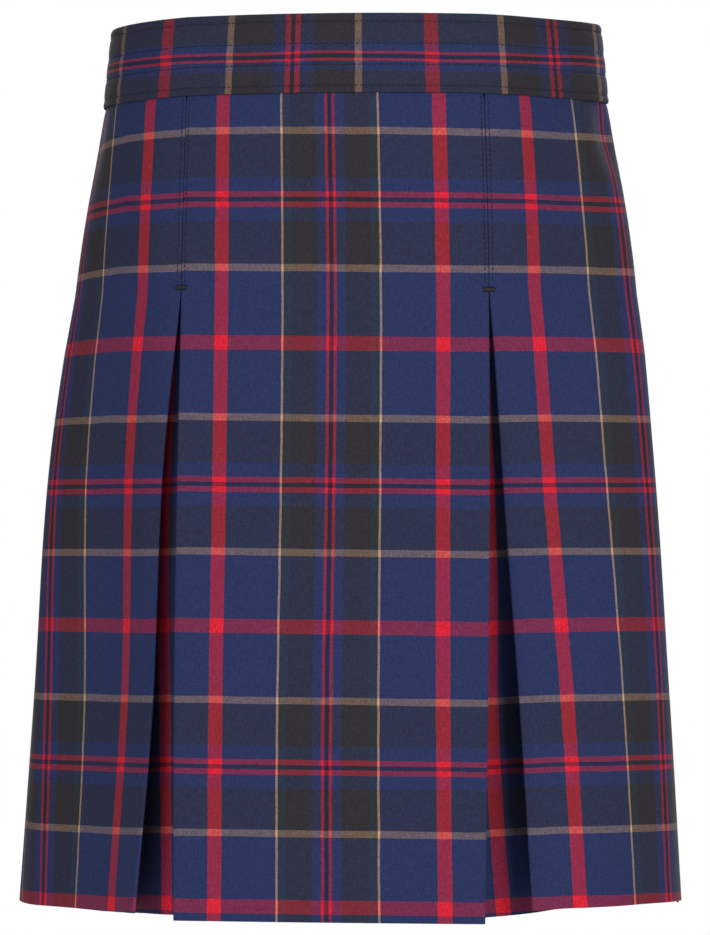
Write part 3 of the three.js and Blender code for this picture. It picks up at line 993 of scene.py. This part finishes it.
class Nodes:
    """The nodes of one material."""

    def __init__(self, name):
        self.material = bpy.data.materials.new(name)
        self.material.use_nodes = True
        self.tree = self.material.node_tree
        self.shader = self.tree.nodes["Principled BSDF"]

    def add(self, kind, settings=None, inputs=None, output=0):
        node = self.tree.nodes.new("ShaderNode" + kind)
        for name, value in (settings or {}).items():
            if name == "stops":
                set_stops(node.color_ramp, value)
            else:
                setattr(node, name, value)
        for name, value in (inputs or {}).items():
            self.feed(node.inputs[name], value)
        return Value(self, node.outputs[output])

    def feed(self, socket, value):
        if isinstance(value, Value):
            self.tree.links.new(value.socket, socket)
        else:
            socket.default_value = value

    def noise(self, x, y, detail=2.0, rough=0.5):
        place = self.add("CombineXYZ", None, {"X": x, "Y": y})
        settings = {"noise_dimensions": "2D"}
        inputs = {"Vector": place, "Scale": 1.0, "Detail": detail, "Roughness": rough}
        return self.add("TexNoise", settings, inputs)

    def blend(self, factor, a, b):
        settings = {"data_type": "RGBA", "blend_type": "MIX"}
        return self.add("Mix", settings, {0: factor, 6: a, 7: b}, output=2)

    def finish(self, **inputs):
        for name, value in inputs.items():
            self.feed(self.shader.inputs[name.replace("_", " ")], value)
        return self.material


def set_stops(ramp, stops):
    """Stops of a ramp with hard edges, as (place, colour)."""
    ramp.interpolation = "CONSTANT"
    while len(ramp.elements) > 1:
        ramp.elements.remove(ramp.elements[-1])
    for number, (place, colour) in enumerate(stops):
        element = ramp.elements[0] if number == 0 else ramp.elements.new(place)
        element.position = place
        element.color = (*colour, 1.0)


def shade(red, green, blue):
    """A dyed yarn's colour as it shows, each channel a share of full."""
    return red / 255, green / 255, blue / 255


BLUE = shade(44, 54, 97)
BLACK = shade(51, 48, 54)
TEAL = shade(47, 56, 62)
RED = shade(231, 37, 58)
THIN_RED = shade(202, 38, 58)
TAN = shade(189, 146, 114)
GOLD = shade(222, 178, 134)
DARK = shade(36, 33, 56)

# The sett: where each colour ends, counted from the middle of the red double line. Round the
# band its two thin lines are a little narrower.
WARP_HALF = 53.9
WARP = ((0.85, DARK), (2.4, THIN_RED), (6.8, BLUE), (19.1, BLACK), (23.2, TEAL), (24.3, GOLD),
        (50.4, BLUE), (WARP_HALF, RED))
BAND_WARP = ((0.95, DARK), (2.15, THIN_RED), *WARP[2:])
WEFT_HALF = 67.1
WEFT = ((0.8, DARK), (3.6, RED), (10.1, BLUE), (30.0, BLACK), (33.4, TAN), (63.5, BLUE),
        (WEFT_HALF, RED))

# The weave: how much of the surface is warp, a thread's width and how far the twill shows, and
# how uneven the tone is, in long streaks and in spots, and how much lighter a painted highlight makes
# a folded edge
WARP_SHARE = 0.57
THREAD = 0.36
TWILL_CONTRAST = 0.09
LINES_WANDER = 0.5
STREAKS = 0.3
MOTTLE = 0.36
HIGHLIGHT_LIGHTER = 0.3


def sett_stops(sett, half):
    """A sett's colours as ramp stops, each where it starts, over half a repeat."""
    starts = (0.0, *(end for end, _ in sett[:-1]))
    return [(start / half, colour) for start, (_, colour) in zip(starts, sett)]


def tartan(name, rough, warp_sett):
    """Twill woven in the sett: the warp and the weft change places thread by thread."""
    n = Nodes(name)
    cloth = n.add("Attribute", {"attribute_name": "cloth"}, output="Vector")
    u, w, painted_highlight = (n.add("SeparateXYZ", None, {0: cloth}, output=axis) for axis in "XYZ")
    drift = n.noise(u * 0.05, w * 0.05) - 0.5
    u_place = (u + drift * LINES_WANDER).math("PINGPONG", WARP_HALF) / WARP_HALF
    w_place = (w + drift * LINES_WANDER).math("PINGPONG", WEFT_HALF) / WEFT_HALF
    warp = n.add("ValToRGB", {"stops": sett_stops(warp_sett, WARP_HALF)}, {0: u_place})
    weft = n.add("ValToRGB", {"stops": sett_stops(WEFT, WEFT_HALF)}, {0: w_place})
    u_thread, w_thread = u / THREAD, w / THREAD
    step = (u_thread.math("FLOOR") + w_thread.math("FLOOR")).math("FLOORED_MODULO", 4.0)
    over = step.math("LESS_THAN", 1.5)
    share = over * TWILL_CONTRAST + (WARP_SHARE - TWILL_CONTRAST / 2)
    colour = n.blend(share, weft, warp)
    streaks = n.noise(u * 1.7, w * 0.3) + n.noise(u * 0.2, w * 1.7) * 0.6 - 0.8
    mottle = n.noise(u * 0.9, w * 0.9, detail=3.0) - 0.5
    # The tone is lifted along a side panel's folded edge: a painted highlight
    tone = streaks * STREAKS + mottle * MOTTLE + painted_highlight * HIGHLIGHT_LIGHTER + 1.0
    toned = n.add("VectorMath", {"operation": "SCALE"}, {0: colour, "Scale": tone})
    dyed = n.add("Gamma", None, {"Color": toned, "Gamma": 2.2})
    u_round = (u_thread.math("FRACT") * math.pi).math("SINE")
    w_round = (w_thread.math("FRACT") * math.pi).math("SINE")
    ridge = over * u_round + (1 - over) * w_round
    height = ridge * 0.6 + mottle * 1.2
    bump = n.add("Bump", None, {"Height": height, "Strength": 0.25, "Distance": 0.0001})
    roughness = mottle * 0.12 + rough
    matt = {"Sheen_Weight": 0.06, "Sheen_Roughness": 0.5, "Specular_IOR_Level": 0.25}
    return n.finish(Base_Color=dyed, Roughness=roughness, Normal=bump, **matt)


def sewing_thread():
    """Dark navy thread, a little uneven in tone."""
    n = Nodes("sewing_thread")
    place = n.add("TexCoord", output="Object")
    noise = n.add("TexNoise", None, {"Vector": place, "Scale": 2600.0, "Detail": 2.0})
    dark, light = (*shade(12, 12, 22), 1.0), (*shade(30, 30, 46), 1.0)
    colour = n.blend(noise, dark, light)
    dyed = n.add("Gamma", None, {"Color": colour, "Gamma": 2.2})
    bump = n.add("Bump", None, {"Height": noise, "Strength": 0.4, "Distance": 0.0001})
    return n.finish(Base_Color=dyed, Roughness=noise * 0.2 + 0.45, Normal=bump)


# The pieces
BODY_CLOTH = tartan("tartan_body", 0.82, WARP)
BAND_CLOTH = tartan("tartan_band", 0.8, BAND_WARP)
THREAD_DARK = sewing_thread()
RNG = np.random.default_rng(27)


def make_body():
    front = make_wall("front_cloth", *body_grids(front_line, hem_lift), BODY_CLOTH)
    settle(front, "body_cloth", "skirt_front")
    back = make_wall("back_cloth", *body_grids(back_line, back_hem_lift), BODY_CLOTH)
    settle(back, "body_cloth", "skirt_back")
    return front, back


def make_bands():
    front_grids = band_grids(*waist_front(), slight_rucks)
    front = make_wall("front_band", *front_grids, BAND_CLOTH, strip_caps=False)
    settle(front, "band_cloth", "waistband_front")
    back_grids = band_grids(*waist_back(), elastic_rucks)
    back = make_wall("back_band", *back_grids, BAND_CLOTH, strip_caps=False)
    settle(back, "band_cloth", "waistband_back")
    return (front, front_grids[0]), (back, back_grids[0])


def face_row(outer, depth):
    """The line round a band's outer face at one depth, with its outward directions."""
    # The profile's last two rows run back up inside the slot
    depths = [row[0] for row in band_profile()][:-2]
    k = int(np.searchsorted(depths, depth))
    t = (depth - depths[k - 1]) / (depths[k] - depths[k - 1])
    line = outer[k - 1] + (outer[k] - outer[k - 1]) * t
    tangent = np.gradient(line, axis=0)
    normals = np.stack([tangent[:, 1], -tangent[:, 0], np.zeros(len(line))], axis=-1)
    return line, normals / np.linalg.norm(normals, axis=1, keepdims=True)


def make_band_stitches(name, outer):
    rows = [stitch_row(*face_row(outer, depth), RNG) for depth in BAND_STITCH_DEPTHS]
    stitches(name, rows, "band_cloth")


def make_edge_stitches():
    """Two rows of stitches down each pleat seam, one on either side of it."""
    end = TACK_DROP - EDGE_STITCH_DROPS["above_tack"]
    drops = np.arange(EDGE_STITCH_DROPS["from"], end, EDGE_STITCH_DROPS["step"])
    rows = []
    for table, sign in ((RIGHT_SIDE, 1), (LEFT_SIDE, -1)):
        sides = [read_side(table, drop) for drop in drops]
        on_centre = [sign * (edge_place(row) - EDGE_STITCH) for row in sides]
        on_side = [sign * (row["second_edge"] + EDGE_STITCH) for row in sides]
        for goals in (on_centre, on_side):
            rows.append(stitch_row(*surface_row(drops, goals), RNG))
    stitches("edge_stitches", rows, "body_cloth")


def make_bar_tacks():
    """A bar tack over each pleat seam, where the stitching ends and the pleat opens."""
    rows = []
    for name, table, sign in (("right", RIGHT_SIDE, 1), ("left", LEFT_SIDE, -1)):
        place = TACK_PLACES[name]
        drops = (place - 0.5, place + 0.5)
        row = read_side(table, place)
        on_centre = sign * (edge_place(row) - TACK_OVERLAP)
        on_side = sign * (row["second_edge"] + TACK_OVERLAP)
        inner, inner_up = surface_row(drops, (on_centre, on_centre))
        outer, outer_up = surface_row(drops, (on_side, on_side))
        up = inner_up.mean(axis=0) + outer_up.mean(axis=0)
        along = outer.mean(axis=0) - inner.mean(axis=0)
        centre = (outer.mean(axis=0) + inner.mean(axis=0)) / 2
        rows.append(bar_tack(centre, along / np.linalg.norm(along), up / np.linalg.norm(up), RNG))
    stitches("bar_tacks", rows, "body_cloth")


front_cloth, back_cloth = make_body()
(front_band, front_face), (back_band, back_face) = make_bands()
make_band_stitches("front_band_stitches", front_face)
make_band_stitches("back_band_stitches", back_face)
make_edge_stitches()
make_bar_tacks()


# Stage, light and camera
def pale_paper():
    n = Nodes("pale_paper")
    place = n.add("TexCoord", output="Object")
    grain = n.add("TexNoise", None, {"Vector": place, "Scale": 60.0, "Detail": 3.0})
    low, high = (0.80, 0.80, 0.80, 1.0), (0.83, 0.83, 0.83, 1.0)
    return n.finish(Base_Color=n.blend(grain, low, high), Roughness=grain * 0.1 + 0.8)


# The floor's and the camera's places, in metres, and the camera's lens in millimetres
FLOOR_BELOW_HEM = 0.36
FLOOR_RADIUS = 2.4
FLOOR_SIDES = 96
CAMERA_AZIMUTH = math.radians(8.0)
CAMERA_AWAY = 2.556
CAMERA_ABOVE_HEM = 0.2127
LENS = 200.2
SENSOR = 36.0

# Soft lights round the skirt: how far round each stands, its power in watts and its height
LIGHTS = (
    {"name": "front", "azimuth": -12, "power": 4.5, "height": 0.2},
    {"name": "front_left", "azimuth": -30, "power": 15.5, "height": 0.65},
    {"name": "front_right", "azimuth": 45, "power": 22, "height": 0.45},
    {"name": "back_left", "azimuth": -155, "power": 15, "height": 0.6},
    {"name": "back_right", "azimuth": 150, "power": 16, "height": 0.6},
)
LIGHT_AWAY = 2.2
LIGHT_SIZE = 1.3
AMBIENT = 0.12


def make_floor():
    floor_z = HEM_Z * MM - FLOOR_BELOW_HEM
    turns = np.exp(2j * math.pi * np.arange(FLOOR_SIDES) / FLOOR_SIDES) * FLOOR_RADIUS
    points = np.stack([turns.real, turns.imag, np.full(FLOOR_SIDES, floor_z)], axis=-1)
    make_object("floor", points, [list(range(FLOOR_SIDES))], pale_paper())


def make_light(name, azimuth, power, height):
    data = bpy.data.lights.new(name, "AREA")
    data.shape = "DISK"
    data.size = LIGHT_SIZE
    data.energy = power
    light = bpy.data.objects.new(name, data)
    turn = math.radians(azimuth)
    light.location = (LIGHT_AWAY * math.sin(turn), -LIGHT_AWAY * math.cos(turn), height)
    aim = Vector((0, 0, HEM_Z * MM / 2)) - light.location
    light.rotation_euler = aim.to_track_quat("-Z", "Y").to_euler()
    bpy.context.scene.collection.objects.link(light)


def make_world():
    """A white studio that the camera sees, which lights the skirt only a little."""
    world = bpy.data.worlds.new("studio")
    world.use_nodes = True
    background = world.node_tree.nodes["Background"]
    background.inputs["Color"].default_value = (1.0, 1.0, 1.0, 1.0)
    seen = world.node_tree.nodes.new("ShaderNodeLightPath").outputs["Is Camera Ray"]
    strength = world.node_tree.nodes.new("ShaderNodeMapRange")
    strength.inputs["To Min"].default_value = AMBIENT
    strength.inputs["To Max"].default_value = 1.0
    world.node_tree.links.new(seen, strength.inputs["Value"])
    world.node_tree.links.new(strength.outputs["Result"], background.inputs["Strength"])
    bpy.context.scene.world = world
    bpy.context.scene.view_settings.view_transform = "Standard"


def make_camera():
    data = bpy.data.cameras.new("camera")
    data.lens = LENS
    data.sensor_width = SENSOR
    data.sensor_fit = "AUTO"
    camera = bpy.data.objects.new("camera", data)
    height = HEM_Z * MM + CAMERA_ABOVE_HEM
    side, back = math.sin(CAMERA_AZIMUTH), -math.cos(CAMERA_AZIMUTH)
    camera.location = (CAMERA_AWAY * side, CAMERA_AWAY * back, height)
    camera.rotation_euler = (math.radians(90), 0, CAMERA_AZIMUTH)
    bpy.context.scene.collection.objects.link(camera)
    bpy.context.scene.camera = camera


make_floor()
for light in LIGHTS:
    make_light(**light)
make_world()
make_camera()
